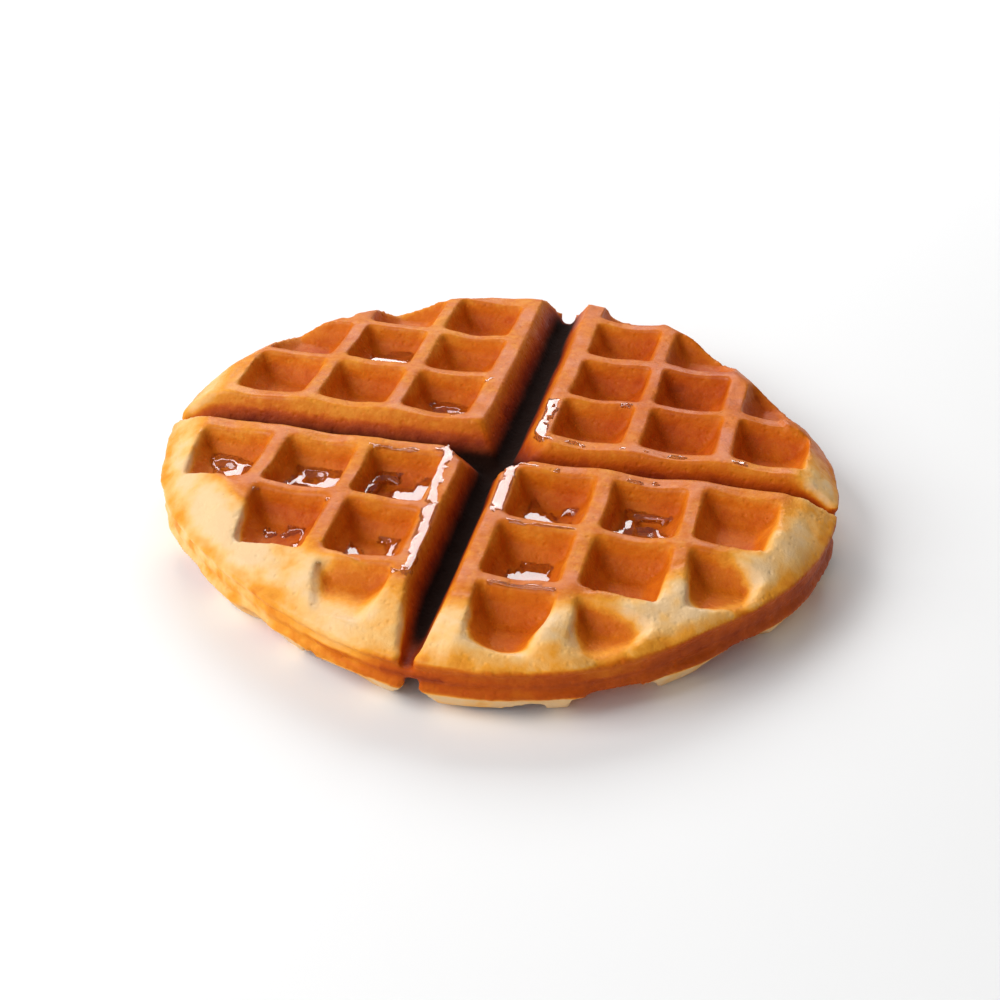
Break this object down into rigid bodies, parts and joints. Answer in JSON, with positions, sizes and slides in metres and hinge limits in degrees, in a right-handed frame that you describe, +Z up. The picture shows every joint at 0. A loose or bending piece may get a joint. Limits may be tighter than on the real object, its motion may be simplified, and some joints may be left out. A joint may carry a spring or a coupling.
{
  "type": "belgian waffle",
  "caption": "Round thick waffle in joined quarters, with deep square pockets and V grooves on both faces and a plain band round its rim.",
  "frame": {"origin": "middle of the waffle's box, on the flat of the lower rib tops that it rests on", "axes": "+Z up out of the upper face, +X along the groove between the front and back quarters, +Y towards the back quarters"},
  "size_m": [0.183, 0.1764, 0.0239],
  "materials": {
    "baked_batter": "matt baked crust, golden to orange-brown, wet with clear syrup in places"
  },
  "bodies": {
    "root": {"waffle": "baked_batter"}
  },
  "joints": []
}
